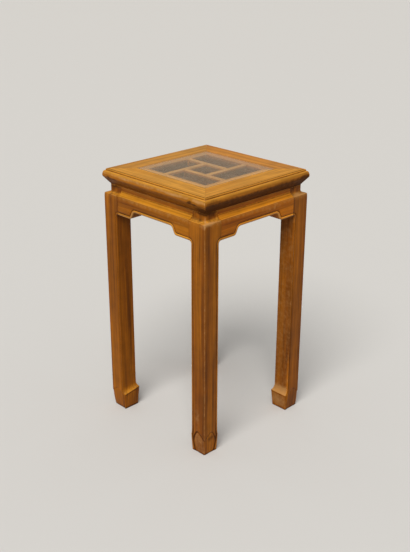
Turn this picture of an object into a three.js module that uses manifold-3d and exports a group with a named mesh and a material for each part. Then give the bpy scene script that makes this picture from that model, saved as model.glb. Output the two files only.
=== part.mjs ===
// Waisted plant stand in hardwood: four legs with hoof feet, cusped aprons, a set-back waist and
// a mitred top frame that holds a pinwheel lattice under a drop-in glass pane.
// Millimetres, +Z up. The origin is on the floor under the middle of the stand. The front is -Y.
import * as THREE from 'three';
import { mergeVertices } from 'three/addons/utils/BufferGeometryUtils.js';
import Module from 'manifold-3d';

const wasm = await Module();
wasm.setup();

// Clearances
const FIT = 0.3; // between a tenon and its mortise, and in every seam between two pieces

// Heights, from the top down
const TOP_HEIGHT = 562; // floor to the flat of the top
const FRAME_DEPTH = 33.5; // top frame, flat of the top to its underside
const WAIST_RISE = 9; // open height of the waist strip
const RAMP_RISE = 9; // rise of the apron's sloping top edge behind its face

// Plan, as distances from the middle
const LEG_FACE = 150.9; // outer faces of legs and aprons
const WAIST_SET = 10.7; // how far the waist stands back from those faces
const ROLL_OUT = 1.6; // how far the top's rolled edge stands out past those faces

// Legs
const LEG_THICK = 38.3;
const EAR = 6; // rounded corner where a leg meets the apron's lower edge
const TENON_RISE = 10; // leg tenons above the waist, into the frame
const TENON_THIN = 10;
const TENON_WIDE = 13;
const TENON_EDGE = 3.5; // tenon's set-back from the faces of its post
const FLARE_TOP = 57; // inner faces start to flare out to the hoof
const RIDGE_HEIGHT = 39; // crisp ridge of the hoof
const RIDGE_OUT = 5.5; // ridge beyond the shaft's inner face
const HEEL_OUT = 2.5; // same, at the floor
const TOE_TOP = 48; // outer faces start to curve in
const TOE_BEND = 22; // height that steers their curve
const TOE_IN = 3.5; // how far they come in at the floor
const HOOF_STEP = 0.8; // hoof's outer faces below the carved arch line
const ARCH_SIDE = 36; // arch line where it leaves the groove
const ARCH_FOOT = 41; // foot of the arch
const ARCH_PEAK = 50.5; // its crown
const ARCH_CROWN = 0.4; // place of the crown, as a share of the way from the groove to the corner
const ARCH_CORNER = 38; // its point at the leg's outer corner

// Aprons
const APRON_THICK = 30;
const APRON_MIDDLE_DROP = 23.5; // face height at the middle of the apron
const APRON_END_DROP = 40.5; // face height at its ends
const OGEE_START = 52; // the cusp's S-curve, from here
const OGEE_RUN = 20; // over this length
const OGEE_PULL = 12; // fullness of the curve
const APRON_TENON_LONG = 13;
const APRON_TENON_TALL = 22;
const APRON_TENON_THICK = 9;
const APRON_TENON_SET = 10; // tenon's set-back from the apron's face

// Bead along the lower edges, set off by a groove
const BEAD_WIDTH = 4.5;
const GROOVE_WIDTH = 2.2;
const GROOVE_DEPTH = 1.2;

// Waist strips
const STRIP_THICK = 14;
const TONGUE_THICK = 5;
const TONGUE_TALL = 4;
const STRIP_TENON = 4; // stub at each end, into the posts

// Top frame
const REBATE_HALF = 100.5; // edge of the glass rebate
const OPENING_HALF = 83.5; // inner edge of the rails
const GLASS_THICK = 4;
const MITRE_TENON_OUT = 9.5; // what is left outside the mitre's tenon
const MITRE_TENON_IN = 105;
const MITRE_TENON_WIDE = 26;
const MITRE_TENON_THICK = 8;
const MITRE_TENON_DROP = 13; // its top below the flat of the top

// Rolled edge of the top frame, as insets from its widest line and drops from the flat
const LINE_INSET = 8.2; // first carved line
const LINE_WIDTH = 1.2;
const LINE_DEPTH = 0.8;
const FILLET_WIDTH = 1.3; // thin bead between the two carved lines
const FILLET_DROP = 1.6;
const ROLL_INSET = 3.9; // upper end of the roll
const ROLL_DROP = 3.4;
const BELLY_DROP = 15; // widest line of the roll
const BELLY_RADIUS = 5; // its lower turn
const UNDERCUT_SLOPE = 0.75; // inward run of the undercut for its fall
const COVE = 1.3; // small cove where the undercut meets the waist

// Lattice
const BAR_OFFSET = 32; // middle of each bar from the middle of the stand
const BAR_WIDTH = 11;
const BAR_DEPTH = 14;
const BAR_TENON_LONG = 5;
const BAR_TENON_WIDE = 5;
const BAR_TENON_TALL = 7;

// Levels and lines worked out from the sizes above
const frameBottom = TOP_HEIGHT - FRAME_DEPTH;
const apronTop = frameBottom - WAIST_RISE;
const shoulder = apronTop - RAMP_RISE;
const apronMiddle = shoulder - APRON_MIDDLE_DROP;
const apronEnd = shoulder - APRON_END_DROP;
const waistFace = LEG_FACE - WAIST_SET;
const rollHalf = LEG_FACE + ROLL_OUT;
const legInner = LEG_FACE - LEG_THICK;
const headInner = legInner - EAR;
const ledge = TOP_HEIGHT - GLASS_THICK - FIT;
const tongueOuter = waistFace - (STRIP_THICK - TONGUE_THICK) / 2;
const tongueInner = tongueOuter - TONGUE_THICK;
const pastEnd = 20; // how far a cutting solid runs past the faces that it cuts
const CURVE_STEPS = 10; // straight facets in each curved stretch

// Materials
const wood = (color, roughness) => new THREE.MeshStandardMaterial({ color, roughness, metalness: 0 });
const finishes = {
  leg: () => wood(0x7d4a1c, 0.42),
  apron: () => wood(0x96591f, 0.42),
  strip: () => wood(0x7a4314, 0.5),
  rail: () => wood(0xb9782f, 0.38),
  bar: () => wood(0x9a6a38, 0.5),
  glass: () => new THREE.MeshStandardMaterial({
    color: 0xdfe8e2, roughness: 0.05, metalness: 0, transparent: true, opacity: 0.3,
  }),
};

// A closed geometry as a solid that can be joined and cut
function solid(geometry) {
  const bare = geometry.clone();
  bare.deleteAttribute('normal');
  bare.deleteAttribute('uv');
  const merged = mergeVertices(bare, 1e-4);
  return new wasm.Manifold(new wasm.Mesh({
    numProp: 3,
    vertProperties: new Float32Array(merged.attributes.position.array),
    triVerts: new Uint32Array(merged.index.array),
  }));
}

// A solid back as a geometry
function geometryOf(body) {
  const mesh = body.getMesh();
  const geometry = new THREE.BufferGeometry();
  geometry.setAttribute('position', new THREE.BufferAttribute(mesh.vertProperties, mesh.numProp));
  geometry.setIndex(new THREE.BufferAttribute(mesh.triVerts, 1));
  geometry.computeVertexNormals();
  return geometry;
}

// A box between two corners
function block([x0, y0, z0], [x1, y1, z1]) {
  const box = new THREE.BoxGeometry(x1 - x0, y1 - y0, z1 - z0);
  box.translate((x0 + x1) / 2, (y0 + y1) / 2, (z0 + z1) / 2);
  return solid(box);
}

// A box grown on all sides, for a mortise that takes a tenon
function mortise([x0, y0, z0], [x1, y1, z1]) {
  return block([x0 - FIT, y0 - FIT, z0 - FIT], [x1 + FIT, y1 + FIT, z1 + FIT]);
}

// An outline run along its own normal
const run = (outline, depth) => new THREE.ExtrudeGeometry(outline, {
  depth, bevelEnabled: false, curveSegments: CURVE_STEPS,
});

// An outline of (across, up) points, run along X from one end to the other
function alongX(outline, from, to) {
  const geometry = run(outline, to - from);
  geometry.rotateX(Math.PI / 2);
  geometry.rotateZ(Math.PI / 2);
  geometry.translate(from, 0, 0);
  return geometry;
}

// An outline of (across, up) points, run along Y from one end to the other
function alongY(outline, from, to) {
  const geometry = run(outline, to - from);
  geometry.rotateX(Math.PI / 2);
  geometry.translate(0, to, 0);
  return geometry;
}

// The same for a solid: mirrored over the diagonal, so that X and Y change places
function overDiagonal(body) {
  return body.rotate([0, 0, 90]).mirror([1, 0, 0]);
}

// Legs. Each is drawn at the corner where X and Y are both positive, and turned to its place.
// The outer faces curve in towards the floor.
function upOuterFace(shape, face) {
  shape.lineTo(face - TOE_IN, 0);
  shape.quadraticCurveTo(face, TOE_BEND, face, TOE_TOP);
}

function legOutline() {
  const shape = new THREE.Shape();
  shape.moveTo(legInner - HEEL_OUT, 0);
  upOuterFace(shape, LEG_FACE);
  shape.lineTo(LEG_FACE, shoulder);
  shape.lineTo(headInner, shoulder);
  shape.lineTo(headInner, apronEnd);
  shape.absarc(headInner, apronEnd - EAR, EAR, Math.PI / 2, 0, true);
  shape.lineTo(legInner, FLARE_TOP);
  shape.quadraticCurveTo(legInner, RIDGE_HEIGHT + RIDGE_OUT, legInner - RIDGE_OUT, RIDGE_HEIGHT);
  shape.closePath();
  return shape;
}

// The line beside a leg's inner edge, from the apron's end round the ear and down over the hoof
function besideInnerEdge(shape, inset) {
  shape.lineTo(headInner, apronEnd + inset);
  shape.absarc(headInner, apronEnd - EAR, EAR + inset, Math.PI / 2, 0, true);
  shape.lineTo(legInner + inset, FLARE_TOP);
  shape.quadraticCurveTo(
    legInner + inset,
    RIDGE_HEIGHT + RIDGE_OUT,
    legInner - RIDGE_OUT + inset,
    RIDGE_HEIGHT,
  );
  shape.lineTo(legInner - HEEL_OUT + inset, 0);
  shape.lineTo(legInner - HEEL_OUT + inset, -pastEnd);
}

// The groove that sets off the bead: what lies between two such lines
function legGroove() {
  const outer = new THREE.Path();
  outer.moveTo(headInner - pastEnd, apronEnd + BEAD_WIDTH + GROOVE_WIDTH);
  besideInnerEdge(outer, BEAD_WIDTH + GROOVE_WIDTH);
  const inner = new THREE.Path();
  inner.moveTo(headInner - pastEnd, apronEnd + BEAD_WIDTH);
  besideInnerEdge(inner, BEAD_WIDTH);
  return new THREE.Shape([...outer.getPoints(CURVE_STEPS).reverse(), ...inner.getPoints(CURVE_STEPS)]);
}

// The hoof's outer face below the carved arch line
function hoofOutline() {
  const edge = legInner + BEAD_WIDTH + GROOVE_WIDTH;
  const across = LEG_FACE - edge;
  const foot = edge + across / 6;
  const crown = edge + across * ARCH_CROWN;
  const shape = new THREE.Shape();
  shape.moveTo(edge - pastEnd, -pastEnd);
  shape.lineTo(LEG_FACE + pastEnd, -pastEnd);
  shape.lineTo(LEG_FACE + pastEnd, ARCH_CORNER - pastEnd);
  shape.lineTo(LEG_FACE, ARCH_CORNER);
  shape.quadraticCurveTo(crown + across / 6, ARCH_PEAK, crown, ARCH_PEAK);
  shape.quadraticCurveTo(foot, ARCH_PEAK, foot, ARCH_FOOT);
  shape.lineTo(edge, ARCH_SIDE);
  shape.lineTo(edge - pastEnd, ARCH_SIDE - pastEnd);
  shape.closePath();
  return shape;
}

// What is shaved off the hoof's +Y face
function hoofShaving() {
  const face = LEG_FACE - HOOF_STEP;
  const behind = new THREE.Shape();
  behind.moveTo(face + pastEnd, -pastEnd);
  behind.lineTo(face - TOE_IN, -pastEnd);
  upOuterFace(behind, face);
  behind.lineTo(face, TOE_TOP + pastEnd);
  behind.lineTo(face + pastEnd, TOE_TOP + pastEnd);
  behind.closePath();
  const [from, to] = [headInner - pastEnd, LEG_FACE + pastEnd];
  return solid(alongX(behind, from, to)).intersect(solid(alongY(hoofOutline(), from, to)));
}

// Corners of a leg's tenon into the rail on its +Y side
const legTenon = [
  [headInner + TENON_EDGE, waistFace - TENON_EDGE - TENON_WIDE, frameBottom - FIT],
  [headInner + TENON_EDGE + TENON_THIN, waistFace - TENON_EDGE, frameBottom + TENON_RISE],
];

// Corners of the +Y apron's tenon into the leg on its +X end
const apronTenonBottom = shoulder - (APRON_MIDDLE_DROP + APRON_TENON_TALL) / 2;
const apronTenon = [
  [headInner - FIT, LEG_FACE - APRON_TENON_SET - APRON_TENON_THICK, apronTenonBottom],
  [headInner + APRON_TENON_LONG, LEG_FACE - APRON_TENON_SET, apronTenonBottom + APRON_TENON_TALL],
];

// Corners of the +Y waist strip's stub into the post on its +X end
const stripStub = [
  [headInner - FIT, tongueInner, apronTop + FIT],
  [headInner + STRIP_TENON, tongueOuter, frameBottom - FIT],
];

function legGeometry() {
  const oneWay = solid(alongY(legOutline(), headInner - pastEnd, LEG_FACE + pastEnd));
  let body = oneWay.intersect(overDiagonal(oneWay));
  body = body.add(block([headInner, headInner, shoulder - FIT], [waistFace, waistFace, frameBottom - FIT]));

  const tenon = block([legTenon[0][0], legTenon[0][1], shoulder], legTenon[1]);
  body = body.add(tenon).add(overDiagonal(tenon));

  const socket = mortise(...apronTenon).add(mortise(...stripStub));
  body = body.subtract(socket).subtract(overDiagonal(socket));

  const groove = solid(alongY(legGroove(), LEG_FACE - GROOVE_DEPTH, LEG_FACE + pastEnd));
  body = body.subtract(groove).subtract(overDiagonal(groove));

  const shaving = hoofShaving();
  return geometryOf(body.subtract(shaving).subtract(overDiagonal(shaving)));
}

// Aprons. Each is drawn on the +Y side and turned to its place.
const apronHalf = headInner - FIT;

// Points along the apron's lower edge from its middle to its end, at a distance above the edge
function lowerEdge(above) {
  const curve = new THREE.CubicBezierCurve(
    new THREE.Vector2(OGEE_START, apronMiddle),
    new THREE.Vector2(OGEE_START + OGEE_PULL, apronMiddle),
    new THREE.Vector2(OGEE_START + OGEE_RUN - OGEE_PULL, apronEnd),
    new THREE.Vector2(OGEE_START + OGEE_RUN, apronEnd),
  );
  const edge = curve.getPoints(2 * CURVE_STEPS);
  const raised = edge.map((point, i) => {
    const tangent = curve.getTangent(i / (edge.length - 1));
    return new THREE.Vector2(point.x - tangent.y * above, point.y + tangent.x * above);
  });
  // Where the curve turns tighter than the distance, points that fold back are left out
  const clear = raised.filter((point) => edge.every((other) => point.distanceTo(other) > above - FIT / 10));
  return [...clear, new THREE.Vector2(apronHalf, apronEnd + above)];
}

const mirrored = (points) => points.map((point) => new THREE.Vector2(-point.x, point.y)).reverse();

function apronOutline() {
  const edge = lowerEdge(0);
  return new THREE.Shape([
    ...mirrored(edge),
    ...edge,
    new THREE.Vector2(apronHalf, apronTop),
    new THREE.Vector2(-apronHalf, apronTop),
  ]);
}

function apronSection() {
  const shape = new THREE.Shape();
  shape.moveTo(LEG_FACE - APRON_THICK, apronEnd - pastEnd);
  shape.lineTo(LEG_FACE, apronEnd - pastEnd);
  shape.lineTo(LEG_FACE, shoulder);
  shape.lineTo(waistFace, apronTop);
  shape.lineTo(LEG_FACE - APRON_THICK, apronTop);
  shape.closePath();
  return shape;
}

function apronGroove() {
  const [near, far] = [BEAD_WIDTH, BEAD_WIDTH + GROOVE_WIDTH].map((above) => {
    const half = lowerEdge(above);
    half.push(new THREE.Vector2(apronHalf + pastEnd, apronEnd + above));
    return [...mirrored(half), ...half];
  });
  return new THREE.Shape([...near, ...far.reverse()]);
}

function apronGeometry() {
  let body = solid(alongY(apronOutline(), 0, LEG_FACE + pastEnd));
  body = body.intersect(solid(alongX(apronSection(), -apronHalf - pastEnd, apronHalf + pastEnd)));
  body = body.subtract(solid(alongY(apronGroove(), LEG_FACE - GROOVE_DEPTH, LEG_FACE + pastEnd)));

  const tongueSlot = block(
    [-apronHalf - pastEnd, tongueInner - FIT, apronTop - TONGUE_TALL - FIT],
    [apronHalf + pastEnd, tongueOuter + FIT, apronTop + pastEnd],
  );
  body = body.subtract(tongueSlot);

  const tenon = block([apronHalf - pastEnd, apronTenon[0][1], apronTenon[0][2]], apronTenon[1]);
  body = body.add(tenon).add(tenon.mirror([1, 0, 0]));
  return geometryOf(body);
}

// Waist strips: a plain strip with a tongue above and below, and a stub at each end
function waistStripGeometry() {
  const strip = block(
    [-apronHalf, waistFace - STRIP_THICK, apronTop + FIT],
    [apronHalf, waistFace, frameBottom - FIT],
  );
  const tongue = block(
    [-apronHalf, tongueInner, apronTop - TONGUE_TALL],
    [apronHalf, tongueOuter, frameBottom + TONGUE_TALL],
  );
  const stub = block([apronHalf - pastEnd, stripStub[0][1], stripStub[0][2]], stripStub[1]);
  return geometryOf(strip.add(tongue).add(stub).add(stub.mirror([1, 0, 0])));
}

// Top rails. Each is drawn on the +Y side, with its ends mitred, and turned to its place.
function railSection() {
  const lineStart = rollHalf - LINE_INSET;
  const filletStart = lineStart + LINE_WIDTH;
  const filletEnd = filletStart + FILLET_WIDTH;
  const rollTop = TOP_HEIGHT - ROLL_DROP;
  const belly = TOP_HEIGHT - BELLY_DROP;
  const turn = Math.atan(UNDERCUT_SLOPE);
  const turnX = rollHalf - BELLY_RADIUS + BELLY_RADIUS * Math.cos(turn);
  const turnZ = belly - BELLY_RADIUS * Math.sin(turn);
  const coveX = waistFace + COVE * UNDERCUT_SLOPE;
  const coveZ = turnZ - (turnX - coveX) / UNDERCUT_SLOPE;

  const shape = new THREE.Shape();
  shape.moveTo(OPENING_HALF, frameBottom);
  shape.lineTo(waistFace, frameBottom);
  shape.quadraticCurveTo(waistFace, (coveZ + frameBottom) / 2, coveX, coveZ);
  shape.lineTo(turnX, turnZ);
  shape.absarc(rollHalf - BELLY_RADIUS, belly, BELLY_RADIUS, -turn, 0, false);
  shape.quadraticCurveTo(rollHalf, (belly + rollTop) / 2, rollHalf - ROLL_INSET, rollTop);
  shape.lineTo(filletEnd, rollTop);
  shape.lineTo(filletEnd, TOP_HEIGHT - FILLET_DROP);
  shape.quadraticCurveTo(filletEnd, TOP_HEIGHT, filletStart, TOP_HEIGHT);
  shape.lineTo(filletStart, TOP_HEIGHT - LINE_DEPTH);
  shape.lineTo(lineStart, TOP_HEIGHT - LINE_DEPTH);
  shape.lineTo(lineStart, TOP_HEIGHT);
  shape.lineTo(REBATE_HALF, TOP_HEIGHT);
  shape.lineTo(REBATE_HALF, ledge);
  shape.lineTo(OPENING_HALF, ledge);
  shape.closePath();
  return shape;
}

// A section run along X whose ends are cut at 45 degrees, less half a seam
function mitredRun(section) {
  const geometry = alongX(section, -1, 1);
  const position = geometry.attributes.position;
  for (let i = 0; i < position.count; i += 1) {
    position.setX(i, position.getX(i) * (position.getY(i) - FIT / 2));
  }
  return solid(geometry);
}

// Corners of the +Y rail's tenon through the mitre at its +X end
const mitreTenon = [
  [MITRE_TENON_IN - pastEnd / 2, MITRE_TENON_IN, TOP_HEIGHT - MITRE_TENON_DROP - MITRE_TENON_THICK],
  [rollHalf - MITRE_TENON_OUT, MITRE_TENON_IN + MITRE_TENON_WIDE, TOP_HEIGHT - MITRE_TENON_DROP],
];

// Corners of a bar's tenon, on the bar that runs along X at +Y, at its outer end and its inner end
const barTop = ledge;
const barTenonBottom = barTop - (BAR_DEPTH + BAR_TENON_TALL) / 2;
const barTenon = (from, to) => [
  [from, BAR_OFFSET - BAR_TENON_WIDE / 2, barTenonBottom],
  [to, BAR_OFFSET + BAR_TENON_WIDE / 2, barTenonBottom + BAR_TENON_TALL],
];
const barInner = BAR_OFFSET - BAR_WIDTH / 2;
const outerTenon = barTenon(-OPENING_HALF - BAR_TENON_LONG, -OPENING_HALF + FIT);
const innerTenon = barTenon(barInner - FIT, barInner + BAR_TENON_LONG);

function railGeometry(tenoned) {
  let body = mitredRun(railSection());

  const tongueSlot = block(
    [-headInner - STRIP_TENON, tongueInner - FIT, frameBottom - pastEnd],
    [headInner + STRIP_TENON, tongueOuter + FIT, frameBottom + TONGUE_TALL + FIT],
  );
  const legSocket = mortise(...legTenon);
  body = body.subtract(tongueSlot).subtract(legSocket).subtract(legSocket.mirror([1, 0, 0]));

  // The bar that ends in this rail is the first bar's outer end, turned a quarter clockwise
  const barSocket = mortise(...outerTenon).rotate([0, 0, -90]);
  body = body.subtract(barSocket);

  if (tenoned) {
    const tenon = block(...mitreTenon);
    return geometryOf(body.add(tenon).add(tenon.mirror([1, 0, 0])));
  }
  const socket = overDiagonal(mortise(...mitreTenon));
  return geometryOf(body.subtract(socket).subtract(socket.mirror([1, 0, 0])));
}

// Lattice bars: each runs from a rail to the side of the next bar, round the middle opening
function barGeometry() {
  const bar = block(
    [-OPENING_HALF + FIT, barInner, barTop - BAR_DEPTH],
    [barInner - FIT, barInner + BAR_WIDTH, barTop],
  );
  const tenons = block(outerTenon[0], [outerTenon[1][0] + FIT, outerTenon[1][1], outerTenon[1][2]])
    .add(block([innerTenon[0][0] - FIT, innerTenon[0][1], innerTenon[0][2]], innerTenon[1]));
  // The bar before this one ends in its side: that bar is this one turned a quarter back
  const socket = mortise(...innerTenon).rotate([0, 0, 90]);
  return geometryOf(bar.add(tenons).subtract(socket));
}

function glassGeometry() {
  const size = 2 * (REBATE_HALF - FIT);
  const geometry = new THREE.BoxGeometry(size, size, GLASS_THICK);
  geometry.translate(0, 0, TOP_HEIGHT - GLASS_THICK / 2);
  return geometry;
}

// The stand
const stand = new THREE.Group();
stand.name = 'plant_stand';

function place(name, geometry, material, quarterTurns) {
  const mesh = new THREE.Mesh(geometry, material);
  mesh.name = name;
  mesh.rotation.z = quarterTurns * Math.PI / 2;
  stand.add(mesh);
}

const leg = legGeometry();
const apron = apronGeometry();
const waistStrip = waistStripGeometry();
const tenonedRail = railGeometry(true);
const mortisedRail = railGeometry(false);
const bar = barGeometry();

// Quarter turns counter-clockwise from the back, where the side pieces are drawn
const sides = ['back', 'left', 'front', 'right'];
sides.forEach((side, turn) => {
  const rail = turn % 2 === 0 ? tenonedRail : mortisedRail;
  place(`top_rail_${side}`, rail, finishes.rail(), turn);
  place(`waist_strip_${side}`, waistStrip, finishes.strip(), turn);
  place(`apron_${side}`, apron, finishes.apron(), turn);
  place(`lattice_bar_${side}`, bar, finishes.bar(), turn);
});

// Quarter turns counter-clockwise from the back right corner, where the leg is drawn
const corners = ['back_right', 'back_left', 'front_left', 'front_right'];
corners.forEach((corner, turn) => place(`leg_${corner}`, leg, finishes.leg(), turn));

place('glass_pane', glassGeometry(), finishes.glass(), 0);

export default stand;
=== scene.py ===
"""Looks of a waisted plant stand: fine carved surfaces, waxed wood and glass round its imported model."""
import math
from types import SimpleNamespace

import bmesh
import bpy
import numpy as np
from bpy.props import FloatProperty, FloatVectorProperty, PointerProperty
from bpy.types import Operator, Panel, PropertyGroup
from mathutils import Matrix, Vector


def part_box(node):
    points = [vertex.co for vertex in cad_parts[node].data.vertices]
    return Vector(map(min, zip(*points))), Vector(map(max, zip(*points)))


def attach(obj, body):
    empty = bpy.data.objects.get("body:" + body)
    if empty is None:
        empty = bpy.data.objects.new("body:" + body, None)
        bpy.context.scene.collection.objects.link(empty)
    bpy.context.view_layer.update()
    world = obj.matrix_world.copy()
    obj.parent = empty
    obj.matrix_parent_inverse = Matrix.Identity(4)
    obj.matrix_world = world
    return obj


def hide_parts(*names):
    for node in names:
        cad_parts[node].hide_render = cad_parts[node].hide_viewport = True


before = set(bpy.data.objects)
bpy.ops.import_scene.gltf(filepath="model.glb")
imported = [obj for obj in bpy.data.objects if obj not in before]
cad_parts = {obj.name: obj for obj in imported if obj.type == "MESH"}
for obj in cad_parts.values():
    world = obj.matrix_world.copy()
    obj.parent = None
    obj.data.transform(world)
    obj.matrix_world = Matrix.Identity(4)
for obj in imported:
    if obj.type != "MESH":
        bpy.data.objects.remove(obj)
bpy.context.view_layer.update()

bl_info = {
    "name": "Waisted Plant Stand",
    "version": (1, 0, 0),
    "blender": (4, 5, 0),
    "location": "View3D > Sidebar > Plant Stand",
    "description": "Builds the carved wood, the lattice and the glass of a waisted plant stand",
    "category": "Add Mesh",
}

# Points are worked out in millimetres and put into the meshes in metres
MM = 0.001

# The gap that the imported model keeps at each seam
FIT = 0.3

# Pieces are drawn at the back, or the back right corner, and turned by quarter turns
SIDES = ("back", "left", "front", "right")
CORNERS = ("back_right", "back_left", "front_left", "front_right")


def box_of(node):
    """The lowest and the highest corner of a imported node's box, in millimetres."""
    return np.array(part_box(node)) / MM


RAIL_LOW, RAIL_HIGH = box_of("top_rail_back")
BAR_LOW, BAR_HIGH = box_of("lattice_bar_back")
LEG_LOW, LEG_HIGH = box_of("leg_back_right")
APRON_LOW, APRON_HIGH = box_of("apron_back")
STRIP_LOW, STRIP_HIGH = box_of("waist_strip_back")
GLASS_LOW, GLASS_HIGH = box_of("glass_pane")

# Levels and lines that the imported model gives
TOP = RAIL_HIGH[2]
FRAME_BOTTOM = RAIL_LOW[2]
ROLL_HALF = RAIL_HIGH[1]
OPENING_HALF = RAIL_LOW[1]
REBATE_HALF = GLASS_HIGH[1] + FIT
LEDGE = GLASS_LOW[2] - FIT
FACE = LEG_HIGH[0]
HEAD_INNER = LEG_LOW[0]
POST_TOP = FRAME_BOTTOM - FIT
WAIST_FACE = STRIP_HIGH[1]
APRON_TOP = APRON_HIGH[2]
APRON_BACK = APRON_LOW[1]
APRON_END = APRON_LOW[2]
APRON_HALF = HEAD_INNER - FIT


def length(name, description, millimetres):
    """A length that a user may change, kept in metres."""
    return FloatProperty(name=name, description=description, default=millimetres * MM, unit="LENGTH",
                         precision=4)


def colour(name, description, value):
    """A colour that a user may change."""
    return FloatVectorProperty(name=name, description=description, default=value, subtype="COLOR", size=3,
                               min=0, max=1)


class StandCarving(PropertyGroup):
    """Sizes of the carving"""
    ramp_rise: length("Ramp rise", "Rise of the apron's hollow top edge behind its face", 9)
    ramp_lift: length("Ramp lift", "Height of the point that steers the hollow", 3.6)
    ramp_run: length("Ramp run", "Distance of that point from the waist", 0.9)
    brow: length("Brow", "Height over which the faces lean back under the ramp", 9)
    brow_lean: length("Brow lean", "How far they lean back", 0.7)
    middle_drop: length("Middle drop", "Height of the apron's face at its middle", 23.5)
    ogee_start: length("Curve start", "Distance of the apron's curve from its middle", 52)
    ogee_run: length("Curve run", "Length of the apron's curve", 20)
    ogee_pull: length("Curve pull", "Fullness of the apron's curve", 12)
    bead: length("Bead", "Width of the bead along the lower edges", 4.6)
    groove: length("Groove", "Width of the groove beside the bead", 2.4)
    groove_depth: length("Groove depth", "Depth of that groove", 1.3)
    ear: length("Ear", "Radius of the corner where a leg meets an apron", 6)
    corner: length("Leg corner", "Radius of a leg's worn outer corner", 1.7)
    arris: length("Arris", "Size of an eased edge", 0.9)
    flare_top: length("Flare top", "Height where the leg starts to flare inwards", 57)
    ridge: length("Ridge", "Height of the hoof's ridge", 39)
    ridge_out: length("Ridge out", "Reach of the ridge beyond the shaft", 5.5)
    heel_out: length("Heel out", "Reach of the hoof beyond the shaft at the floor", 2.5)
    toe_top: length("Toe top", "Height where the outer faces start to curve in", 48)
    toe_bend: length("Toe bend", "Height that steers that curve", 22)
    toe_in: length("Toe in", "How far the outer faces come in at the floor", 3.5)
    hoof_step: length("Hoof step", "Depth of the hoof below its carved arch", 0.8)
    crown: length("Arch crown", "Height of the carved arch", 50.8)
    crown_at: length("Crown place", "Distance of the arch's crown from the stand's middle", 131)


class StandColours(PropertyGroup):
    """Colours of the finishes"""
    pale: colour("Pale streaks", "Pale streaks of upright wood", (0.43, 0.150, 0.0100))
    deep: colour("Deep streaks", "Dark streaks of upright wood", (0.22, 0.063, 0.0035))
    # The faded colours go on faces that look up: daylight fading, and painted top light that pales them
    faded_pale: colour("Faded, pale", "Pale streaks where daylight has faded the wood", (0.60, 0.285, 0.048))
    faded_deep: colour("Faded, deep", "Dark streaks where it has faded", (0.485, 0.205, 0.025))
    # The next colour pales wear and also paints highlights; the one after darkens knots and also paints shade
    # in grooves, creases and under the frame
    worn: colour("Worn edge", "Edges that handling has rubbed pale", (0.60, 0.32, 0.13))
    soiled: colour("Soiled groove", "Old wax and dust in grooves", (0.055, 0.016, 0.003))
    glass: colour("Glass", "Tint of the glass", (0.97, 0.955, 0.90))
    floor: colour("Floor", "Plain pale floor", (0.66, 0.65, 0.63))
    floor_bounce: colour("Floor bounce", "The floor as the wood meets it", (0.24, 0.24, 0.235))


def carving(**habits):
    """The carving's sizes in millimetres, by name, with the habits of one leg in their place or added."""
    group = bpy.context.scene.stand_carving
    sizes = {key: getattr(group, key) / MM for key in StandCarving.__annotations__}
    return SimpleNamespace(**{**sizes, **habits})


# Lines and surfaces

def quadratic(t, start, pull, end):
    """From start to end as t goes from 0 to 1, drawn towards pull: (1-t)^2 start + 2t(1-t) pull + t^2 end."""
    return (1 - t) ** 2 * start + 2 * t * (1 - t) * pull + t * t * end


def outline(start, *runs):
    """Points of quadratics joined end to end, without the last end. A run is (pull, end, steps), or
    (end, steps) where it is straight."""
    points = []
    for *pull, end, steps in runs:
        t = np.linspace(0, 1, steps, endpoint=False)[:, None]
        points.append(quadratic(t, start, pull[0] if pull else (np.array(start) + end) / 2, end))
        start = end
    return np.vstack(points)


def closed(section):
    """A section with its first point again at its end, and points that coincide taken out."""
    ring = np.vstack([section, section[:1]])
    keep = np.append(True, np.linalg.norm(np.diff(ring, axis=0), axis=1) > 1e-6)
    return ring[keep]


def eased(corners, size):
    """A closed outline whose corners are each turned by the quadratic between two points that lie the
    given size away on its sides."""
    here = np.array(corners, float)

    def towards(other):
        reach = other - here
        return here + reach / np.linalg.norm(reach, axis=1, keepdims=True) * size

    start, end = towards(np.roll(here, 1, 0)), towards(np.roll(here, -1, 0))
    t = np.linspace(0, 1, 4)[None, :, None]
    return closed(quadratic(t, start[:, None], here[:, None], end[:, None]).reshape(-1, 2))


def spread(*axes):
    """Points from their X, Y and Z, or two of them, each spread over the shape of all. Where X has a row for
    each place, a section of (y, z) points is carried along it."""
    return np.stack(np.broadcast_arrays(*axes), -1)


def over_diagonal(points):
    """The same points with X and Y changing places."""
    return points[..., [1, 0, 2]]


def turned(points, quarter_turns):
    """Points turned about the stand's middle, counter-clockwise from above."""
    x, y, z = np.moveaxis(points, -1, 0)
    for _ in range(quarter_turns):
        x, y = -y, x
    return spread(x, y, z)


# Meshes

# Points closer than this are one point, in millimetres, and edges sharper than this are shaded sharp
MERGE = 0.02
SHARP = math.radians(40)


def set_values(mesh, name, values):
    """Puts a number on each point of a mesh, as a named attribute."""
    attribute = mesh.attributes.get(name) or mesh.attributes.new(name, "FLOAT", "POINT")
    attribute.data.foreach_set("value", values.astype(np.float32))


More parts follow.
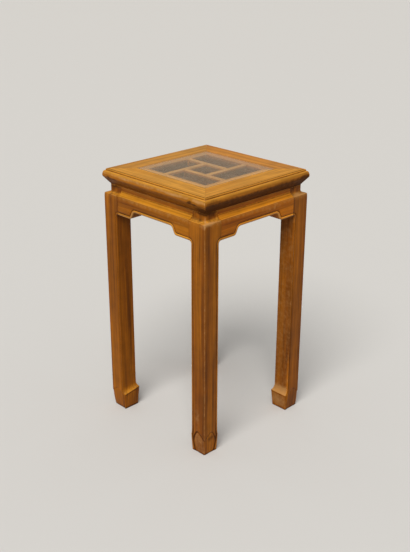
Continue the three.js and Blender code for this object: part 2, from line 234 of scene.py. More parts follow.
def joined_mesh(name, grids, plates):
    """One closed mesh from grids of points with their wear and painted shading, and from flat plates, in
    millimetres.
    """
    vertices, wear_shadings, faces = [], [], []
    start = 0
    for points, rub in grids:
        rows, columns = points.shape[:2]
        index = start + np.arange(rows * columns).reshape(rows, columns)
        quads = np.stack([index[:-1, :-1], index[:-1, 1:], index[1:, 1:], index[1:, :-1]], -1)
        vertices.append(points.reshape(-1, 3))
        wear_shadings.append(np.broadcast_to(rub, (rows, columns)).ravel())
        faces += quads.reshape(-1, 4).tolist()
        start += rows * columns
    for plate in plates:
        vertices.append(plate)
        wear_shadings.append(np.zeros(len(plate)))
        faces.append(list(range(start, start + len(plate))))
        start += len(plate)

    mesh = bpy.data.meshes.new(name)
    mesh.from_pydata((np.vstack(vertices) * MM).tolist(), [], faces)
    set_values(mesh, "rub", np.concatenate(wear_shadings))
    work = bmesh.new()
    work.from_mesh(mesh)
    bmesh.ops.remove_doubles(work, verts=work.verts, dist=MERGE * MM)
    bmesh.ops.recalc_face_normals(work, faces=work.faces)
    work.to_mesh(mesh)
    loose = sum(len(edge.link_faces) != 2 for edge in work.edges)
    work.free()
    if loose:
        raise RuntimeError(f"{name} has {loose} open or shared edges")
    mesh.shade_smooth()
    mesh.set_sharp_from_angle(angle=SHARP)
    return mesh


def points_and_normals(mesh):
    """The places and the normals of a mesh's points, in metres."""
    arrays = []
    for key in ("co", "normal"):
        values = np.zeros(len(mesh.vertices) * 3)
        mesh.vertices.foreach_get(key, values)
        arrays.append(values.reshape(-1, 3))
    return arrays


def stands_out(mesh, place, normal):
    """How far each point stands out from its neighbours: the mean over its edges of the edge's part
    along the normal, over the edge's length squared. That is about half the curvature, per millimetre."""
    edges = np.zeros(len(mesh.edges) * 2, int)
    mesh.edges.foreach_get("vertices", edges)
    a, b = edges.reshape(-1, 2).T
    step = place[b] - place[a]
    square = np.maximum((step ** 2).sum(1), 1e-12)
    total = np.bincount(a, -(normal[a] * step).sum(1) / square, len(place))
    total += np.bincount(b, (normal[b] * step).sum(1) / square, len(place))
    return total / np.maximum(np.bincount(edges, minlength=len(place)), 1) * MM


def add_object(name, data):
    """An object in the scene for a mesh, a lamp or a camera."""
    made = bpy.data.objects.new(name, data)
    bpy.context.scene.collection.objects.link(made)
    return made


def make_piece(name, grids, plates, material, body, nodes, marks=()):
    """One closed piece from grids of points and flat plates, in millimetres. A grid is (points, wear
    shading), where the wear shading is above 0 where the wood is rubbed pale or a highlight is painted, and
    below 0 where knots and patchy old wax darken it or shade is painted. Edges that stand out are paled by
    wear, and hollows get painted shade. A mark is (middle, size, amount), and adds amount times exp(-distance
    squared), with distance in sizes. The attribute upward is the upright part of the normal: faces that look
    up are paler, for daylight fading and painted top light."""
    mesh = joined_mesh(name, grids, plates)
    place, normal = points_and_normals(mesh)
    rub = np.zeros(len(place))
    mesh.attributes["rub"].data.foreach_get("value", rub)
    # Edges that stand out are paled by wear, and hollows are darkened with painted shade
    rub += np.clip(stands_out(mesh, place, normal) * 1.1, -0.8, 0.8)
    for middle, size, amount in marks:
        rub += amount * np.exp(-(((place / MM - middle) / size) ** 2).sum(1))
    set_values(mesh, "rub", np.clip(rub, -1, 1))
    set_values(mesh, "upward", normal[:, 2])
    mesh.materials.append(material)
    piece = add_object(name, mesh)
    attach(piece, body)
    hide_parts(*nodes)
    return piece


# Wood and glass

def feed(tree, made, **inputs):
    """Links a node's inputs to sockets, or sets them to values. They go by name, or by number as in i0."""
    for key, value in inputs.items():
        numbered = key[0] == "i" and key[1:].isdigit()
        socket = made.inputs[int(key[1:]) if numbered else key.replace("_", " ")]
        if isinstance(value, bpy.types.NodeSocket):
            tree.links.new(value, socket)
        else:
            socket.default_value = value


def node(tree, kind, settings=None, **inputs):
    """Adds a node, with its settings and its inputs."""
    made = tree.nodes.new(kind)
    for key, value in (settings or {}).items():
        setattr(made, key, value)
    feed(tree, made, **inputs)
    return made


def mixed(tree, factor, first, second, blend="MIX"):
    """The colour between first and second."""
    return node(tree, "ShaderNodeMix", {"data_type": "RGBA", "blend_type": blend},
                i0=factor, i6=first, i7=second).outputs[2]


def ranged(tree, value, low, high, to_low=0.0, to_high=1.0, kind="SMOOTHSTEP"):
    """A value carried from one range to another and held inside it."""
    return node(tree, "ShaderNodeMapRange", {"interpolation_type": kind}, Value=value, From_Min=low,
                From_Max=high, To_Min=to_low, To_Max=to_high).outputs[0]


def noise(tree, vector, scale, detail, roughness=0.5, distortion=0.0):
    """Soft noise from 0 to 1."""
    return node(tree, "ShaderNodeTexNoise", Vector=vector, Scale=scale, Detail=detail,
                Roughness=roughness, Distortion=distortion).outputs["Fac"]


def maths(tree, operation, first, second=0.0):
    """One sum."""
    return node(tree, "ShaderNodeMath", {"operation": operation}, i0=first, i1=second).outputs[0]


def new_material(name):
    """A material, its node tree and its shader."""
    material = bpy.data.materials.new(name)
    material.use_nodes = True
    return material, material.node_tree, material.node_tree.nodes["Principled BSDF"]


# Colours of waxed wood: the names of their properties, and in title case of the grain group's inputs
WOOD_COLOURS = ("pale", "deep", "faded_pale", "faded_deep", "worn", "soiled")


def grain_group():
    """Waxed grain along X of the vector: broad bands that bend with the growth, streaks, fine pores, and the
    wear shading attribute, which pales rubbed edges and painted highlights, and darkens knots and painted
    shade."""
    tree = bpy.data.node_groups.new("Waxed grain", "ShaderNodeTree")
    colours = [(key.title().replace("_", " "), "INPUT", "Color") for key in WOOD_COLOURS]
    for name, in_out, kind in (("Vector", "INPUT", "Vector"), *colours, ("Figure", "INPUT", "Float"),
                               ("Color", "OUTPUT", "Color"), ("Roughness", "OUTPUT", "Float"),
                               ("Height", "OUTPUT", "Float")):
        tree.interface.new_socket(name, in_out=in_out, socket_type=f"NodeSocket{kind}")
    given = node(tree, "NodeGroupInput").outputs

    def grained(along, across, detail, roughness, distortion=0.0):
        """Noise with so many waves to the metre along the grain and across it."""
        stretched = node(tree, "ShaderNodeVectorMath", {"operation": "MULTIPLY"}, i0=given["Vector"],
                         i1=(along, across, across)).outputs[0]
        return noise(tree, stretched, 1.0, detail, roughness, distortion)

    bands = grained(2.2, 42, 3.0, 0.55, 0.6)
    ribbons = grained(3.5, 120, 2.0, 0.5, 0.5)
    streaks = grained(7, 260, 4.0, 0.6, 0.3)
    fibres = grained(34, 1500, 3.0, 0.65)
    pores = grained(110, 2600, 2.0, 0.5)
    clouds = noise(tree, given["Vector"], 9.0, 3.0)
    mottle = noise(tree, given["Vector"], 34.0, 3.0, 0.6)

    bands = ranged(tree, bands, 0.3, 0.68)
    upright = mixed(tree, bands, given["Deep"], given["Pale"])
    lying_faded_lit = mixed(tree, bands, given["Faded Deep"], given["Faded Pale"])
    # Faces that look up take the faded colours: paler for daylight fading and for painted top light
    upward = node(tree, "ShaderNodeAttribute", {"attribute_name": "upward"}).outputs["Fac"]
    wood = mixed(tree, ranged(tree, upward, -0.1, 0.75), upright, lying_faded_lit)

    # Each noise, the part of its range that counts, and how far it darkens or lightens the wood
    light = ranged(tree, streaks, 0.32, 0.68, 0.76, 1.22, "LINEAR")
    for pattern, low, high, swing_low, swing_high in (
        (fibres, 0.3, 0.7, -0.10, 0.10),
        (ribbons, 0.34, 0.66, -0.24, 0.22),
        (clouds, 0.32, 0.68, -0.13, 0.13),
        (mottle, 0.32, 0.68, -0.10, 0.10),
    ):
        light = maths(tree, "ADD", light, ranged(tree, pattern, low, high, swing_low, swing_high, "LINEAR"))
    light = maths(tree, "SUBTRACT", light, ranged(tree, pores, 0.66, 0.76, 0.0, 0.22))
    light = maths(tree, "MULTIPLY", maths(tree, "SUBTRACT", light, 1.0), given["Figure"])
    light = maths(tree, "ADD", light, 1.0)
    shade = node(tree, "ShaderNodeCombineColor", i0=light, i1=light, i2=light).outputs[0]
    wood = mixed(tree, 1.0, wood, shade, "MULTIPLY")

    # Wear shading: wear and painted highlights go pale, knots and painted shade go dark
    rub = node(tree, "ShaderNodeAttribute", {"attribute_name": "rub"}).outputs["Fac"]
    patchy = noise(tree, given["Vector"], 130.0, 4.0, 0.6)
    patchy = ranged(tree, patchy, 0.3, 0.7, -0.16, 0.16, "LINEAR")
    worn = ranged(tree, maths(tree, "ADD", rub, patchy), 0.16, 0.85)
    soiled = ranged(tree, maths(tree, "SUBTRACT", patchy, rub), 0.14, 0.85)
    wood = mixed(tree, maths(tree, "MULTIPLY", worn, 0.75), wood, given["Worn"])
    wood = mixed(tree, maths(tree, "MULTIPLY", soiled, 0.85), wood, given["Soiled"])

    rough = ranged(tree, clouds, 0.3, 0.7, 0.36, 0.47, "LINEAR")
    rough = maths(tree, "ADD", rough, maths(tree, "MULTIPLY", soiled, 0.25))
    rough = maths(tree, "ADD", rough, maths(tree, "MULTIPLY", worn, 0.05))
    height = maths(tree, "SUBTRACT", maths(tree, "MULTIPLY", fibres, 0.5), ranged(tree, pores, 0.64, 0.78))
    height = maths(tree, "ADD", height, maths(tree, "MULTIPLY", streaks, 0.8))
    node(tree, "NodeGroupOutput", Color=wood, Roughness=rough, Height=height)
    return tree


# Turns that bring each grain direction onto X
GRAIN_TURNS = {"x": (0, 0, 0), "y": (0, 0, -math.pi / 2), "z": (0, math.pi / 2, 0)}

# Each board is cut from wood of its own shade: the shares of red, green and blue that it keeps. The shares
# also paint light, evening out how brightly the sides are lit: the right side's waist and apron are
# lightened.
BOARD_SHADES = {
    "rail_back": (0.80, 0.68, 0.60),
    "rail_left": (0.78, 0.74, 0.70),
    "rail_front": (1.1, 1.06, 0.8),
    "rail_right": (1.05, 0.98, 0.7),
    "waist_front": (1.0, 0.92, 0.7),
    "waist_right": (1.15, 0.98, 0.6),
    "apron_front": (1.1, 1.02, 0.5),
    "apron_right": (1.3, 1.08, 0.45),
    "leg_front_left": (0.84, 0.74, 0.42),
    "leg_front_right": (0.95, 0.86, 0.6),
    "leg_back_right": (0.82, 0.7, 0.36),
}


def board_wood(name, grain, figure=1.0):
    """Waxed wood for one board, in its own shade, of which rubbed edges and painted highlights take half. Its
    grain runs along one axis, and figure sets the grain's contrast."""
    colours = bpy.context.scene.stand_colours
    shade = BOARD_SHADES.get(name, (1.0, 1.0, 1.0))
    shades = {}
    for key in WOOD_COLOURS:
        kept = [(1 + share) / 2 if key == "worn" else share for share in shade]
        shades[key.title()] = (*(channel * share for channel, share in zip(getattr(colours, key), kept)), 1.0)
    material, tree, shader = new_material(f"{name}_wood")
    place = node(tree, "ShaderNodeTexCoord").outputs["Object"]
    along = node(tree, "ShaderNodeMapping", Vector=place, Rotation=GRAIN_TURNS[grain]).outputs[0]
    group = bpy.data.node_groups.get("Waxed grain") or grain_group()
    wood = node(tree, "ShaderNodeGroup", {"node_tree": group}, Vector=along, Figure=figure, **shades).outputs
    bump = node(tree, "ShaderNodeBump", Strength=0.25, Distance=0.2 * MM, Height=wood["Height"])
    feed(tree, shader, Base_Color=wood["Color"], Roughness=wood["Roughness"], Normal=bump.outputs[0],
         Specular_IOR_Level=0.12)
    return material


def glass_material():
    """Clear float glass. Lamp light, and light between boards, passes it unbent to the wood under it."""
    material, tree, shader = new_material("pane_glass")
    place = node(tree, "ShaderNodeTexCoord").outputs["Object"]
    smears = noise(tree, place, 26.0, 5.0, 0.6, 0.8)
    feed(tree, shader, Base_Color=(*bpy.context.scene.stand_colours.glass, 1.0), Transmission_Weight=1.0,
         IOR=1.5, Roughness=ranged(tree, smears, 0.45, 0.8, 0.015, 0.09))
    clear = node(tree, "ShaderNodeBsdfTransparent")
    path = node(tree, "ShaderNodeLightPath").outputs
    unbent = maths(tree, "MAXIMUM", path["Is Shadow Ray"], path["Is Diffuse Ray"])
    surface = node(tree, "ShaderNodeMixShader", i0=unbent, i1=shader.outputs[0], i2=clear.outputs[0])
    feed(tree, tree.nodes["Material Output"], Surface=surface.outputs[0])
    return material


# Top frame, lattice, waist and glass

def make_boards(name, node_name, grid, wear_shading_at, figure=1.0, marks=(), ending=""):
    """Four like boards: a grid that runs along X at the stand's back, turned to each side, with a flat plate
    at each end. A function of the side gives their wear and painted shading."""
    for turn, side in enumerate(SIDES):
        points = turned(grid, turn)
        make_piece(f"{name}_{side}{ending}", [(points, wear_shading_at(side))], [points[0, :-1], points[-1, :-1]],
                   board_wood(f"{name}_{side}", "xy"[turn % 2], figure), "stand",
                   [f"{node_name}_{side}"], marks)


def rail_section():
    """Half section of a rail as (y, z): flat, two carved lines, the roll, its undercut and the rebate. The
    roll is a quarter of an ellipse above its belly and part of a circle below."""
    line_start, fillet_start, fillet_end = ROLL_HALF - 9.0, ROLL_HALF - 7.0, ROLL_HALF - 5.2
    belly, radius, slope = TOP - 14.4, 5.0, 0.75
    roll_wide, roll_high, ease = 4.6, 10.4, 0.35
    turn = math.atan(slope)
    low = (ROLL_HALF - radius + radius * math.cos(turn), belly - radius * math.sin(turn))
    cove = (WAIST_FACE + 1.0, low[1] - (low[0] - WAIST_FACE - 1.0) / slope)
    arc, theta = np.linspace(-turn, 0, 9, endpoint=False), np.linspace(0, 1.45, 15, endpoint=False)
    crest = (ROLL_HALF - roll_wide, belly + roll_high)
    return np.vstack([
        outline(
            (OPENING_HALF, FRAME_BOTTOM),
            ((WAIST_FACE, FRAME_BOTTOM), 3),
            ((WAIST_FACE, (cove[1] + FRAME_BOTTOM) / 2), cove, 5),
            (low, 8),
        ),
        spread(ROLL_HALF - radius + radius * np.cos(arc), belly + radius * np.sin(arc)),
        spread(ROLL_HALF - roll_wide * (1 - np.cos(theta)), belly + roll_high * np.sin(theta)),
        outline(
            crest,
            ((fillet_end + 0.2, crest[1] - 1.0), (fillet_end, crest[1] + 0.2), 6),
            ((fillet_end - 0.3, TOP - 1.4), (fillet_end - 0.9, TOP - 0.9), 5),
            ((fillet_start + 0.5, TOP - 0.1), (fillet_start, TOP - 0.6), 5),
            (((line_start + fillet_start) / 2, TOP - 2.0), (line_start, TOP - ease), 9),
            ((line_start - 0.1, TOP), (line_start - 2 * ease, TOP), 3),
            ((REBATE_HALF + ease, TOP), 9),
            ((REBATE_HALF, TOP), (REBATE_HALF, TOP - ease), 4),
            ((REBATE_HALF, LEDGE), 3),
            ((OPENING_HALF + ease, LEDGE), 4),
            ((OPENING_HALF, LEDGE), (OPENING_HALF, LEDGE - ease), 4),
            ((OPENING_HALF, FRAME_BOTTOM), 4),
        ),
    ])


# How dark the painted shade in a rail's undercut is, how far below the top it starts, and how pale the
# painted highlight on the roll is
PLAIN_RAIL = (0.3, 12, 0.0)
RAIL_HABITS = {"front": (0.3, 12, 0.46), "right": (0.72, 8.5, 0.0)}


def rail_painted_shading(y, z, side):
    """A rail's painted shading round its section: painted shade in the two carved lines, low on the opening's
    side and in the undercut, and a painted highlight on the roll."""
    undercut_shade, start, roll_highlight = RAIL_HABITS.get(side, PLAIN_RAIL)
    near_top = z > TOP - 5.6
    rub = -1.2 * near_top * np.exp(-((y - ROLL_HALF + 8.4) / 0.75) ** 2)
    rub -= 0.55 * near_top * np.exp(-((y - ROLL_HALF + 5.1) / 0.5) ** 2)
    rub -= 0.8 * (y < OPENING_HALF + 0.1) * (z < LEDGE - 6)
    rub -= undercut_shade * (y > OPENING_HALF + 1) * np.clip((TOP - start - z) / 7, 0, 1)
    return rub + roll_highlight * (y > ROLL_HALF - 4) * np.exp(-((z - TOP + 9) / 3.2) ** 2)


# Knots, knocks, worn places, painted highlights and painted shade of the rails: their middles, their sizes
# and how pale they are
RAIL_MARKS = [
    ((107, -152, 546.5), (5, 3, 4), -0.7),
    ((112, -152, 551), (4, 3, 4.5), -0.75),
    ((122, -152, 544.5), (9, 3, 3.5), -0.7),
    ((134, -152, 549), (11, 4, 5), 0.4),
    # Pale at the front right corner of the roll: wear with a painted highlight
    ((151.5, -151.5, 549), (1.6, 1.6, 7), 0.9),
    ((147, -147, 558), (2.2, 2.2, 3), 0.8),
    ((60, -152, 551), (26, 4, 2.5), 0.35),
    ((-20, -152, 549), (30, 4, 2.5), 0.3),
    ((-80, -152, 551), (14, 4, 2.5), 0.3),
    ((20, -152, 546.5), (16, 4, 2.5), -0.3),
    ((-55, -152, 546.5), (18, 4, 2.5), -0.3),
    ((152, -128, 554), (4, 24, 5), -0.4),
    ((152, 138, 551), (4, 14, 6), -0.5),
    ((-39.6, 104.5, TOP), (3, 2, 2), 1.3),
    # Painted shade in the corners under the frame, above the posts
    ((143, -143, 533), (18, 18, 8), -0.8),
    ((143, 143, 534), (20, 20, 8), -0.45),
    ((-143, -143, 534), (20, 20, 8), -0.4),
    ((-133, -152, 548), (8, 4, 6), -0.55),
    ((-116, -152, 545), (9, 4, 3), -0.4),
]


class STAND_OT_top_frame(Operator):
    """Build the four mitred rails with their carved and rolled edge"""
    bl_idname = "stand.top_frame"
    bl_label = "Top Frame"

    def execute(self, context):
        ring = closed(rail_section())
        x = np.linspace(-1, 1, 121)[:, None] * (ring[:, 0] - FIT / 2)
        make_boards("rail", "top_rail", spread(x, *ring.T), lambda side: rail_painted_shading(*ring.T, side),
                    0.8, RAIL_MARKS)
        return {"FINISHED"}


class STAND_OT_lattice(Operator):
    """Build the four bars that meet as a pinwheel"""
    bl_idname = "stand.lattice"
    bl_label = "Lattice"

    def execute(self, context):
        (inner, bottom), (outer, top), ease = BAR_LOW[1:], BAR_HIGH[1:], 0.7
        right = np.vstack([
            outline(
                (outer - ease, bottom),
                ((outer, bottom), (outer, bottom + ease), 4),
                ((outer, top - ease), 12),
                ((outer, top), (outer - ease, top), 4),
            ),
            [(outer - ease, top)],
        ])
        ring = closed(np.vstack([right, right[::-1] * (-1, 1) + (inner + outer, 0)]))
        # The bars' sides are darkened below their tops with painted shade
        rub = 0.2 - 0.95 * np.clip((top - 1.2 - ring[:, 1]) / 4, 0, 1)
        start, end = -OPENING_HALF + FIT, inner - FIT
        x = start + np.linspace(0, 1, 25)[:, None] * (end - start)
        make_boards("bar", "lattice_bar", spread(x, *ring.T), lambda side: rub)
        return {"FINISHED"}


class STAND_OT_waist(Operator):
    """Build the four set-back strips under the top frame"""
    bl_idname = "stand.waist"
    bl_label = "Waist"

    def execute(self, context):
        back, face, bottom = STRIP_LOW[1], WAIST_FACE, APRON_TOP + FIT
        ring = eased([(back, bottom), (face, bottom), (face, POST_TOP), (back, POST_TOP)], 0.4)
        x = np.linspace(-1, 1, 61)[:, None] * APRON_HALF
        # The hidden back is painted paler as painted light, and the ends by the posts darker with painted
        # shade
        rub = np.where(ring[:, 0] < back + 0.1, 0.6, 0.0) - 0.55 * np.exp(-((APRON_HALF - abs(x)) / 7) ** 2)
        make_boards("waist", "waist_strip", spread(x, *ring.T), lambda side: rub)
        return {"FINISHED"}


class STAND_OT_glass(Operator):
    """Build the loose pane in its rebate"""
    bl_idname = "stand.glass"
    bl_label = "Glass Pane"

    def execute(self, context):
        half, bottom = GLASS_HIGH[1], GLASS_LOW[2]
        ring = eased([(-half, bottom), (half, bottom), (half, TOP), (-half, TOP)], 0.3)
        points = spread(np.linspace(-half, half, 3)[:, None], *ring.T)
        pane = make_piece("pane", [(points, 0.0)], [points[0, :-1], points[-1, :-1]], glass_material(),
                          "pane", ["glass_pane"])
        pane.data.shade_flat()
        return {"FINISHED"}


# Beaded edges

def edge_profile(cut, bead_rub, groove_rub):
    """Across a beaded edge: distances from the edge, depths below the face and the wear shading, in which the
    bead is paled by wear and a painted highlight and the groove is darkened with painted shade. The bead is
    half an ellipse, the groove falls behind it, and the face rises out of the groove on a soft slope."""
    bead, groove, depth = cut.bead, cut.groove, cut.groove_depth
    across = np.cos(np.linspace(math.pi, 0, 11))
    on_bead = bead / 2 * (1 + across)
    bead_depth = (depth - 0.1) * (1 - np.sqrt(np.maximum(1 - across ** 2, 0)))
    in_groove = bead + groove * np.array([0.25, 0.5, 0.75, 1.0, 1.3, 1.9, 3.0])
    groove_depth = depth * np.array([1.0, 1.0, 0.72, 0.36, 0.24, 0.14, 0.06])
    distance = np.concatenate([on_bead, in_groove])
    places = (0, bead * 0.55, bead * 0.85, bead + groove * 0.1, bead + groove, bead + groove * 2)
    wear_shadings = (bead_rub, bead_rub, groove_rub / 5, groove_rub, groove_rub * 0.8, 0)
    return distance, np.concatenate([bead_depth, groove_depth]), np.interp(distance, places, wear_shadings)


def beaded_face(edge, normal, far, out_by, depth, rub, columns):
    """A face with a beaded edge: points by their distance beside the edge, then evenly across to the far
    side. Gives their X and Z, how deep they lie below the face, and the edge's wear and painted shading."""
    beside = edge[:, None] + normal[:, None] * out_by[..., None]
    share = np.linspace(0, 1, columns)[1:, None]
    across = beside[:, -1:] * (1 - share) + far[:, None] * share
    x, z = np.moveaxis(np.concatenate([beside, across], 1), -1, 0)
    behind = np.concatenate([depth, depth[-1] * (1 - share[:, 0])])
    return x, z, behind, np.concatenate([rub, 0 * share[:, 0]])


def shoulder_of(cut):
    """Height of the arris between an apron's face and its ramp, which the legs' shoulders share."""
    return APRON_TOP - cut.ramp_rise


def sole_ease(height):
    """How far the sides of a foot come in where its sole's edge is eased: with the square of the share of
    1.2 mm that is left above the floor."""
    return 0.7 * np.clip(1 - height / 1.2, 0, 1) ** 2


def face_at(cut, height):
    """Distance of the outer faces from the stand's middle at a height: a quadratic over the toe, with the
    sole's edge eased, and a brow under the shoulder that leans back with the square of its height."""
    t = np.linspace(0, 1, 200)
    toe = np.interp(height, quadratic(t, 0, cut.toe_bend, cut.toe_top), FACE - (1 - t) ** 2 * cut.toe_in)
    brow = np.clip(1 - (shoulder_of(cut) - height) / cut.brow, 0, 1)
    return toe - sole_ease(height) - cut.brow_lean * brow ** 2


def brow_paling(cut, height):
    """How much paler a face is just under its shoulder, fading over 15 mm."""
    return 0.46 * np.clip(1 - (shoulder_of(cut) - height) / 15, 0, 1)


def apron_edge(cut):
    """The apron's lower edge as (x, z) and its upward normals: straight, a cubic S-curve, straight."""
    middle, start, run, pull = shoulder_of(cut) - cut.middle_drop, cut.ogee_start, cut.ogee_run, cut.ogee_pull
    t = np.linspace(0, 1, 33)[:, None]
    curve = ((1 - t) ** 3 * (start, middle) + 3 * t * (1 - t) ** 2 * (start + pull, middle)
             + 3 * t * t * (1 - t) * (start + run - pull, APRON_END) + t ** 3 * (start + run, APRON_END))
    half = np.vstack([
        outline((0, middle), ((start, middle), 14)),
        curve,
        outline((start + run, APRON_END), ((APRON_HALF, APRON_END), 12))[1:],
        [(APRON_HALF, APRON_END)],
    ])
    edge = np.vstack([half[:0:-1] * (-1, 1), half])
    along = np.gradient(edge, axis=0)
    along /= np.linalg.norm(along, axis=1, keepdims=True)
    return edge, spread(-along[:, 1], along[:, 0])


def apron_shape(cut):
    """An apron's grid and its wear and painted shading. Rows run round it: up the beaded face to the
    shoulder, over the hollow ramp, down the back, and under to the edge again. Shade is painted dark at the
    ramp's top, under the frame, and the hidden back is painted paler, as painted light."""
    edge, normal = apron_edge(cut)
    distance, depth, rub = edge_profile(cut, 0.7, -0.5)
    shoulder, ease = shoulder_of(cut), cut.arris
    far = spread(edge[:, 0], shoulder - ease)
    x, z, behind, rub = beaded_face(edge, normal, far, distance[None], depth, rub, 20)
    face = spread(x, face_at(cut, z) - behind, z)
    face_wear_shading = rub + brow_paling(cut, z)

    brow = face_at(cut, shoulder - ease)
    over = outline(
        (brow, shoulder - ease),
        ((brow - 0.1, shoulder), (FACE - ease * 0.9, shoulder + ease * 0.4), 6),
        ((WAIST_FACE + cut.ramp_run, shoulder + cut.ramp_lift), (WAIST_FACE, APRON_TOP), 14),
        ((APRON_BACK + ease, APRON_TOP), 3),
        ((APRON_BACK, APRON_TOP), (APRON_BACK, APRON_TOP - ease), 4),
    )[1:]
    edge_x, edge_z, share = edge[:, :1], edge[:, 1:], np.linspace(0, 1, 8)
    over = spread(edge_x, *over.T)
    back = spread(edge_x, APRON_BACK, (APRON_TOP - ease) * (1 - share) + (edge_z + ease) * share)
    inner = spread(edge_x, APRON_BACK + ease, edge_z)
    under = inner * (1 - share[:, None]) + face[:, :1] * share[:, None]

    # Painted shade in the crease at the ramp's top, under the frame
    def crease_shade(points):
        return -0.5 * np.exp(-((APRON_TOP - points[..., 2]) / 2.4) ** 2)

    # The back is painted paler as painted light
    wear_shadings = [face_wear_shading, crease_shade(over), np.full(back.shape[:2], 0.6), crease_shade(under[:, :-1]), face_wear_shading[:, :1]]
    return np.concatenate([face, over, back, under], 1), np.concatenate(wear_shadings, 1)


# Knocks and worn places of the aprons, as for the rails
APRON_MARKS = [
    ((-105.8, -150, 498), (1.4, 3, 13), -0.9),
    ((80, -151, 497), (18, 3, 3), 0.3),
    ((151, 40, 500), (3, 30, 4), 0.25),
]


class STAND_OT_aprons(Operator):
    """Build the four cusped aprons"""
    bl_idname = "stand.aprons"
    bl_label = "Aprons"

    def execute(self, context):
        grid, rub = apron_shape(carving())
        make_boards("apron", "apron", grid, lambda side: rub, 0.75, APRON_MARKS, "_carved")
        return {"FINISHED"}


# Legs

# Rows of points round the ear, and those before its middle
EAR_ROWS = 33
EAR_HALF = 16

# Directions in plan round an outer corner, from Y to X
QUARTER = spread(np.sin(np.linspace(0, math.pi / 2, 9)), np.cos(np.linspace(0, math.pi / 2, 9)))

# Shares of the way from a leg's face inwards to its diagonal, and the small round that ends it there
REACH = np.linspace(0, 1, 12)
ROUND_ANGLES = np.linspace(0, math.pi / 4, 4)[1:]
ROUND = 0.8

# Where the point that steers a ledge's hollow lies: its share of the way to the post, and its height
LEDGE_OUT, LEDGE_UP = 0.93, 0.2


def at_floor(height):
    """Painted contact shadow on the feet just above the floor."""
    return -1.4 * np.exp(-(height / 2.8) ** 2)


def soft_step(distance):
    """From 0 to 1 as a distance passes 0, within about a millimetre: half of 1 + tanh."""
    return 0.5 + 0.5 * np.tanh(distance / 0.6)


def arch(cut, across):
    """Height of the carved arch over the hoof: a steep side towards the bead and a long side that
    falls to the leg's outer corner."""
    beyond = across - cut.crown_at
    return cut.crown - np.where(beyond > 0, 0.8 * (np.sqrt(beyond ** 2 + 2.5 ** 2) - 2.5),
                                0.055 * np.abs(beyond) ** 2.3)


def below_arch(cut, across, height):
    """How far a point lies below the arch, measured square to it."""
    slope = (arch(cut, across + 0.1) - arch(cut, across - 0.1)) / 0.2
    return (arch(cut, across) - height) / np.sqrt(1 + slope ** 2)


def leg_edge(cut):
    """The leg's inner edge on its outer face, as (x, z) and normals: a quarter circle round the ear, the
    shaft, the flare and the heel. Below the ear the normals are level."""
    inner, ear_end = HEAD_INNER + cut.ear, APRON_END - cut.ear
    heel = inner - cut.heel_out
    angle = np.linspace(math.pi / 2, 0, EAR_ROWS, endpoint=False)
    round_ear = spread(np.cos(angle), np.sin(angle))
    lower = np.vstack([
        outline(
            (inner, ear_end),
            ((inner, cut.flare_top + 6), 60),
            ((inner, cut.flare_top), 8),
            ((inner, cut.ridge + cut.ridge_out), (inner - cut.ridge_out, cut.ridge), 24),
            ((heel, 1.2), 44),
            ((heel, 0), 4),
        ),
        [(heel, 0)],
    ])
    lower[:, 0] += sole_ease(lower[:, 1])
    edge = np.vstack([(HEAD_INNER, ear_end) + cut.ear * round_ear, lower])
    return edge, np.vstack([round_ear, np.tile([1.0, 0.0], (len(lower), 1))])


def leg_far(cut, height):
    """Far side of the outer face, as (x, z) in each row: along the shoulder while the edge rounds the ear's
    first half, then down the corner."""
    z = height.copy()
    z[:EAR_HALF] = shoulder_of(cut) - cut.arris
    z[EAR_HALF:EAR_ROWS] = np.linspace(z[0], height[EAR_ROWS], EAR_ROWS - EAR_HALF, endpoint=False)
    x = face_at(cut, z) - cut.hoof_step * soft_step(arch(cut, FACE) - z) - cut.corner
    x[:EAR_HALF + 1] = np.linspace(HEAD_INNER, x[EAR_HALF], EAR_HALF + 1)
    return spread(x, z)


def leg_face(cut, edge, normal, far):
    """The outer face, and the wear and painted shading of its two copies on both sides of the diagonal. The
    bead narrows down the leg, its groove sweeps out at the foot, and the hoof lies a step below its carved
    arch, under a dark line of painted shadow, and is paler than the face above."""
    distance, depth, rub = edge_profile(cut, cut.bead_rub, cut.groove_rub)
    height = edge[:, 1:]
    narrow = 1 - (1 - cut.bead_share) * np.clip((APRON_END - height) / 30, 0, 1)
    widen = cut.sweep * np.clip(1 - height / 36, 0, 1) ** 1.3
    out_by = distance * narrow + widen * np.clip(distance / cut.bead, 0, 1) ** 2
    x, z, behind, rub = beaded_face(edge, normal, far, out_by, depth, rub, 40)

    below = below_arch(cut, x, z)
    past_groove = x - edge[:, :1] - ((cut.bead + cut.groove * 1.2) * narrow + widen)
    inside = np.clip(past_groove / 1.2, 0, 1)
    on_hoof = soft_step(below) * inside
    arch_line = np.exp(-((below - 0.9) / 1.9) ** 2) * inside
    to_corner = far[:, :1] - x
    by_corner = 1 - np.clip(to_corner / 6, 0, 1)
    step = on_hoof * (1 - by_corner) + by_corner * soft_step(arch(cut, FACE) - z)
    carved_line = 0.4 * cut.arch_line * arch_line * np.clip(to_corner / 2, 0, 1)
    y = face_at(cut, z) - behind - cut.hoof_step * step - carved_line

    # Painted shade in the groove near the foot and painted contact shadow at the floor; the face is paler
    # under the shoulder, and the arch has a dark line of painted shadow over a paler hoof
    low = cut.low_groove * np.clip(1 - (height - 45) / 30, 0, 1)
    plain_wear_shading = rub - low * np.exp(-((past_groove + 1.5) / 2.2) ** 2) + at_floor(z) + brow_paling(cut, z)
    arch_shading = cut.arch_line * (0.36 * on_hoof - 1.5 * arch_line)
    return spread(x, y, z), [plain_wear_shading + share * arch_shading for share in cut.arch_sides]


